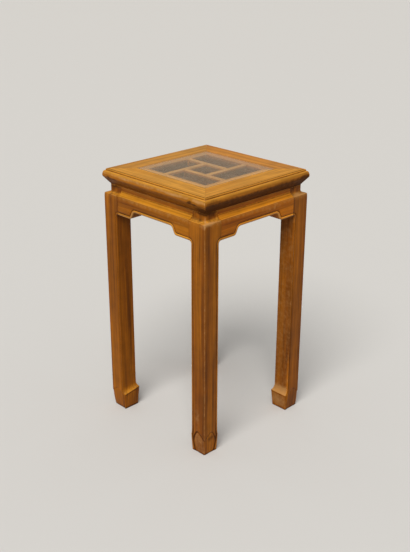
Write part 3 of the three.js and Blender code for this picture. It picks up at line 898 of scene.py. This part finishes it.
def leg_corner(cut, far):
    """The outer corner and its wear and painted shading: a quarter circle at each height below the shoulder's
    corner. It is paled by wear and a painted highlight, and darkened with painted shadow at the arch and the
    floor.
    """
    x, z = far[EAR_HALF:].T[..., None]
    points = spread(*(x + cut.corner * side for side in QUARTER.T), z)
    arch_shading = 1.1 * cut.arch_line * np.exp(-((z - arch(cut, FACE)) / 1.2) ** 2)
    return points, cut.corner_rub + at_floor(z) - arch_shading


def round_corner(first, corner):
    """A line in plan along one side of the diagonal, round the corner and back along the other side."""
    return np.vstack([first, corner, first[-2::-1, ::-1]])


def leg_head(cut, face, corner):
    """Shoulder, ledge and post, and their wear and painted shading: a section carried along the plan of the
    leg's outer faces. The ledge is a quadratic hollow that ends up the post, and nears the apron's own hollow
    at the seam. The shoulder is paled by wear and a painted highlight, and the post's top is darkened with
    painted shade under the frame."""
    shoulder, ease = shoulder_of(cut), cut.arris
    plan = round_corner(face[:EAR_HALF + 1, -1, :2], corner[0, 1:, :2])
    out = round_corner(np.tile([0.0, 1.0], (EAR_HALF + 1, 1)), QUARTER[1:])
    tilt = np.linspace(0, math.pi / 2, 6)
    arris = plan[:, None] - out[:, None] * (ease * (1 - np.cos(tilt)))[:, None]
    arris_rise = shoulder - ease + ease * np.sin(tilt)

    post_half = WAIST_FACE - ROUND
    post_side = spread(np.linspace(HEAD_INNER, post_half, EAR_HALF + 1), WAIST_FACE)
    post = round_corner(post_side, post_half + ROUND * QUARTER[1:])[:, None]
    from_seam = np.minimum(plan.min(1) - HEAD_INNER, 10) / 10
    near = cut.seam_share * (1 - from_seam ** 2 * (3 - 2 * from_seam))[:, None]
    pull_out = LEDGE_OUT + near * (1 - LEDGE_OUT - cut.ramp_run / (FACE - WAIST_FACE))
    pull_up = LEDGE_UP + near * (cut.ramp_lift - LEDGE_UP)
    foot = cut.post_foot + near * (cut.ramp_rise - cut.post_foot)
    t = np.linspace(0, 1, 11)[1:]
    share = quadratic(t, 0, pull_out, 1)[..., None]
    ledge = arris[:, -1:] * (1 - share) + post * share
    ledge_rise = shoulder + quadratic(t, 0, pull_up, foot)
    climb = shoulder + foot + (POST_TOP - shoulder - foot) * np.linspace(0, 1, 8)[1:]

    parts = ((arris, arris_rise), (ledge, ledge_rise), (post, climb))
    points = np.concatenate([spread(*np.moveaxis(flat, -1, 0), rise) for flat, rise in parts], 1)
    # Paler shoulder from wear and a painted highlight; darker post top under the frame from painted shade
    rub = cut.shoulder_rub * np.exp(-((points[..., 2] - shoulder) / 1.5) ** 2)
    return points, rub - 0.5 * np.clip((points[..., 2] - POST_TOP + 5) / 5, 0, 1)


def inwards(start, diagonal):
    """From points on a face, level with them, to the leg's diagonal at X = Y, and there round a small arc."""
    arcs = ROUND * (1 - np.cos(ROUND_ANGLES)), ROUND * (1 - np.sin(ROUND_ANGLES))
    x = np.concatenate([start[:, :1] * (1 - REACH) + diagonal * REACH, diagonal + arcs[0]], 1)
    y = np.concatenate([start[:, 1:2] * (1 - REACH) + (diagonal + ROUND) * REACH, diagonal + arcs[1]], 1)
    return spread(x, y, start[:, 2:])


def leg_inside(cut, face, edge):
    """The inner face and its wear and painted shading. The hoof's ridge climbs towards the diagonal; its
    slope is paled by wear and painted light, a dark line of painted shade lies under it, and each leg's inner
    face takes its own amount of painted light and shade."""
    height, ridge, flare = edge[:, 1:], cut.ridge, cut.flare_top
    points = inwards(face[:, 0], edge[:, :1])
    hump = np.interp(height, [0, ridge, 2 * ridge], [0, 1, 0])
    points[..., 2] += cut.ridge_climb * hump * np.append(REACH, np.ones(len(ROUND_ANGLES)))
    slope = np.interp(height, [ridge - 1, ridge + 1, flare - 6, flare + 4], [0, 1, 0.8, 0])
    # Painted shade under the ridge
    dark = 0.55 * np.exp(-((height - ridge + 2.2) / 1.5) ** 2)
    return points, cut.slope_rub * slope - dark + at_floor(height) + cut.inner_rub


def leg_shapes(cut):
    """The grids and plates of a leg at the back right corner, from the carving and the leg's own habits."""
    edge, normal = leg_edge(cut)
    far = leg_far(cut, edge[:, 1])
    face, (first_wear_shading, second_wear_shading) = leg_face(cut, edge, normal, far)
    corner, corner_rub = leg_corner(cut, far)
    head, head_wear_shading = leg_head(cut, face, corner)
    inside, inside_wear_shading = leg_inside(cut, face, edge)
    seam_side = inwards(face[0], np.full((face.shape[1], 1), HEAD_INNER))

    # Flat plates: the post's two hidden sides, its top and the sole
    hidden_corner = [(*seam_side[-1, -1, :2], POST_TOP)]
    side_plate = np.vstack([head[0, :0:-1], seam_side[-1], hidden_corner])
    post_plate = np.vstack([head[:, -1], hidden_corner])
    sole_half = np.vstack([inside[-1, ::-1], face[-1, 1:]])
    sole = np.vstack([sole_half, corner[-1, 1:], over_diagonal(sole_half)[::-1][1:-1]])

    grids = [
        (face, first_wear_shading),
        (over_diagonal(face), second_wear_shading),
        (corner, corner_rub),
        (head, head_wear_shading),
        (inside, inside_wear_shading),
        (over_diagonal(inside), inside_wear_shading),
        (seam_side, 0.0),
        (over_diagonal(seam_side), 0.0),
    ]
    return grids, [side_plate, over_diagonal(side_plate), post_plate, sole]


# The legs are hand carved, so each has habits of its own. Their marks are as for the rails
# Habits also hold painted shading: highlights on bead, corner, slope and shoulder, shade in grooves, and
# light and shade on inner faces
PLAIN_LEG = {"sweep": 1.5, "arch_line": 0.25, "arch_sides": (1, 1), "bead_share": 0.75, "bead_rub": 0.1,
             "groove_rub": -0.3, "corner_rub": 0.1, "slope_rub": 0.3, "inner_rub": 0, "ridge_climb": 0,
             "low_groove": 0.3, "seam_share": 0.35, "post_foot": 5.0, "shoulder_rub": 0.2}
LEG_HABITS = {
    "back_right": {"toe_in": 2.0, "bead_share": 0.55, "groove_rub": -0.5, "slope_rub": 0.7, "inner_rub": 0.3,
                   "seam_share": 0.9, "post_foot": 6.5, "shoulder_rub": 0.5},
    "front_left": {"toe_in": 3.8, "bead_rub": -0.1, "groove_rub": -0.15, "slope_rub": 0.1, "inner_rub": -0.16,
                   "ridge_climb": 7},
    "front_right": {"ridge_out": 1.8, "heel_out": -0.4, "toe_in": 1.5, "sweep": 5.5, "arch_line": 1.0,
                    "arch_sides": (0.35, 1), "bead_rub": 0.6, "groove_rub": -0.6, "low_groove": 1.0,
                    "corner_rub": 0.25, "shoulder_rub": 0.35},
}
LEG_MARKS = [
    # Pale band on the back right leg's ledge: wear with a painted highlight
    ((147, 124, 513.5), (7, 13, 2.8), 1.2),
    # Painted shade on the left and painted light on the right of the back right leg's post
    ((140, 116, 523), (3, 8, 6), -0.6),
    ((140, 134, 519), (3, 7, 5), 0.3),
    ((128, 106, 18), (25, 4, 16), 0.5),
    # Pale spots on the front left foot's ridge: wear with painted highlights
    ((-108, -149, 43), (3, 4, 2), 1.0),
    ((-108, -137.5, 50), (3, 1.5, 6), 0.9),
    ((-108, -116, 48), (3, 6, 2), 0.8),
    ((-122, -149.5, 510.5), (8, 3, 1.5), 0.6),
    # Painted shade at the top of the front left leg's post, under the frame
    ((-128, -141, 523), (16, 3, 7), -0.6),
    ((-124, -144.5, 514), (22, 4.5, 2.6), -0.6),
    ((-124, -147.5, 511.5), (22, 3, 3), -0.75),
    ((-106.6, -150, 498), (1.4, 3, 13), -0.9),
    ((-136, -151, 485), (2, 3, 34), -0.35),
    ((-123, -151, 478), (1.6, 3, 40), -0.35),
    ((151, -148.7, 474), (3, 1.2, 30), -0.45),
    ((151, -147, 500), (4, 3, 6), -0.3),
    # Painted shade at the top of the front right leg's post, under the frame
    ((140, -121, 523), (3, 17, 8), -0.62),
    ((140, -140, 527), (6, 6, 4), -0.9),
    ((128, -141, 522), (16, 2.5, 7), -0.4),
    ((130, -140, 528), (14, 3, 3), -0.5),
    # Pale on the front right leg's post corner, shoulder corner and right ledge: wear with painted highlights
    ((141.5, -141.5, 517), (3, 3, 5.5), 1.7),
    ((146, -146, 512), (2.5, 2.5, 2.5), 0.6),
    ((149.5, -138, 511), (4, 12, 3), 1.2),
    ((124, -144.5, 514), (26, 4.5, 2.6), -0.85),
    ((124, -147.5, 512), (26, 4, 4), -0.75),
    ((150, -150, 507), (3, 3, 5), 0.5),
    ((130, -151, 85), (10, 3, 45), 0.36),
    # Painted highlight on the front right leg's bead at the foot
    ((112, -151, 38), (2, 3, 7), 0.8),
    ((150, -132, 36), (3, 12, 9), -0.7),
]


class STAND_OT_legs(Operator):
    """Build the four legs with their hoof feet"""
    bl_idname = "stand.legs"
    bl_label = "Legs"

    def execute(self, context):
        for turn, name in enumerate(CORNERS):
            grids, plates = leg_shapes(carving(**{**PLAIN_LEG, **LEG_HABITS.get(name, {})}))
            grids = [(turned(points, turn), rub) for points, rub in grids]
            plates = [turned(points, turn) for points in plates]
            make_piece(f"leg_{name}_carved", grids, plates, board_wood(f"leg_{name}", "z"), "stand",
                       [f"leg_{name}"], LEG_MARKS)
        return {"FINISHED"}


# Stage

# The photograph's camera: its bearing, height angle and roll in degrees, its distance and the point that it
# looks at in metres, and its lens in millimetres
AZIMUTH, ELEVATION, ROLL = 45.42, 22.52, 0.15
DISTANCE, LOOK_SIDE, LOOK_HEIGHT = 1.8707, -0.0012, 0.3207
LENS = 55.96

# The soft light: its direction, strength, spread in degrees and colour
LIGHT_FROM, LIGHT_STRENGTH, LIGHT_SPREAD = Vector((0.275, -0.536, 0.797)), 2.45, 35
LIGHT_COLOUR = (1.0, 0.975, 0.94)

# The surround as the boards, the camera and mirrors see it, and its strength
SURROUND, PALE_BACKDROP, WARM_ROOM = (0.98, 0.98, 0.97, 1), (1.60, 1.57, 1.49, 1), (1.08, 0.86, 0.6, 1)
SURROUND_STRENGTH = 0.42

# Radius of the floor in metres, and its sides
FLOOR_RADIUS, FLOOR_SIDES = 40, 96


def add_floor(colours):
    """A level disc, which is paler as the camera and glass see it than as the wood meets it."""
    angle = np.linspace(0, 2 * math.pi, FLOOR_SIDES, endpoint=False)
    disc = FLOOR_RADIUS * spread(np.cos(angle), np.sin(angle), 0)
    mesh = bpy.data.meshes.new("floor")
    mesh.from_pydata(disc.tolist(), [], [list(range(FLOOR_SIDES))])
    floor = add_object("floor", mesh)
    material, tree, shader = new_material("floor")
    path = node(tree, "ShaderNodeLightPath").outputs
    seen = maths(tree, "MAXIMUM", path["Is Glossy Ray"], path["Is Transmission Ray"])
    seen = maths(tree, "MAXIMUM", path["Is Camera Ray"], seen)
    tint = mixed(tree, seen, (*colours.floor_bounce, 1), (*colours.floor, 1))
    feed(tree, shader, Base_Color=tint, Roughness=0.8, Specular_IOR_Level=0.2)
    mesh.materials.append(material)


def add_surround(scene):
    """The world. Seen past or through the glass it is pale, and the room that mirrors in it is warm
    overhead."""
    scene.world = bpy.data.worlds.new("studio")
    scene.world.use_nodes = True
    tree = scene.world.node_tree
    path = node(tree, "ShaderNodeLightPath").outputs
    direction = node(tree, "ShaderNodeTexCoord").outputs["Generated"]
    rise = node(tree, "ShaderNodeSeparateXYZ", Vector=direction).outputs["Z"]
    overhead = mixed(tree, ranged(tree, rise, 0.17, 0.33), PALE_BACKDROP, WARM_ROOM)
    surround = mixed(tree, path["Is Glossy Ray"], SURROUND, WARM_ROOM)
    surround = mixed(tree, path["Is Transmission Ray"], surround, overhead)
    surround = mixed(tree, path["Is Camera Ray"], surround, PALE_BACKDROP)
    feed(tree, tree.nodes["Background"], Color=surround, Strength=SURROUND_STRENGTH)


def add_light():
    """One broad sun."""
    lamp = bpy.data.lights.new("key", "SUN")
    lamp.energy = LIGHT_STRENGTH
    lamp.angle = math.radians(LIGHT_SPREAD)
    lamp.color = LIGHT_COLOUR
    light = add_object("key", lamp)
    light.rotation_mode = "QUATERNION"
    light.rotation_quaternion = LIGHT_FROM.to_track_quat("Z", "Y")
    light.location = LIGHT_FROM * 2


def add_camera(scene):
    """The camera, on its bearing from the point that it looks at."""
    azimuth, elevation, roll = (math.radians(angle) for angle in (AZIMUTH, ELEVATION, ROLL))
    back = Vector((math.sin(azimuth) * math.cos(elevation), -math.cos(azimuth) * math.cos(elevation),
                   math.sin(elevation)))
    right = Vector((math.cos(azimuth), math.sin(azimuth), 0))
    data = bpy.data.cameras.new("camera")
    data.lens = LENS
    data.sensor_width = 36
    data.clip_start, data.clip_end = 0.05, 100
    camera = add_object("camera", data)
    camera.location = right * LOOK_SIDE + Vector((0, 0, LOOK_HEIGHT)) + back * DISTANCE
    camera.rotation_mode = "QUATERNION"
    rolled = Matrix.Rotation(roll, 3, "Z").to_quaternion()
    camera.rotation_quaternion = back.to_track_quat("Z", "Y") @ rolled
    scene.camera = camera


class STAND_OT_stage(Operator):
    """Set the pale floor, the soft light and the camera"""
    bl_idname = "stand.stage"
    bl_label = "Stage"

    def execute(self, context):
        add_floor(context.scene.stand_colours)
        add_surround(context.scene)
        add_light()
        add_camera(context.scene)
        context.scene.view_settings.view_transform = "Standard"
        return {"FINISHED"}


class STAND_PT_panel(Panel):
    """Lists the stand's pieces, sizes and colours"""
    bl_idname = "STAND_PT_panel"
    bl_label = "Plant Stand"
    bl_space_type = "VIEW_3D"
    bl_region_type = "UI"
    bl_category = "Plant Stand"

    def draw(self, context):
        layout = self.layout
        for operator in OPERATORS:
            layout.operator(operator.bl_idname)
        for group in (context.scene.stand_carving, context.scene.stand_colours):
            box = layout.box()
            for key in type(group).__annotations__:
                box.prop(group, key)


OPERATORS = (STAND_OT_stage, STAND_OT_top_frame, STAND_OT_lattice, STAND_OT_glass, STAND_OT_waist,
             STAND_OT_aprons, STAND_OT_legs)
CLASSES = (StandCarving, StandColours, *OPERATORS, STAND_PT_panel)


def register():
    for cls in CLASSES:
        bpy.utils.register_class(cls)
    bpy.types.Scene.stand_carving = PointerProperty(type=StandCarving)
    bpy.types.Scene.stand_colours = PointerProperty(type=StandColours)


def unregister():
    del bpy.types.Scene.stand_carving
    del bpy.types.Scene.stand_colours
    for cls in reversed(CLASSES):
        bpy.utils.unregister_class(cls)


def main():
    register()
    for name in ("stage", "top_frame", "lattice", "glass", "waist", "aprons", "legs"):
        getattr(bpy.ops.stand, name)()


if __name__ == "__main__":
    main()
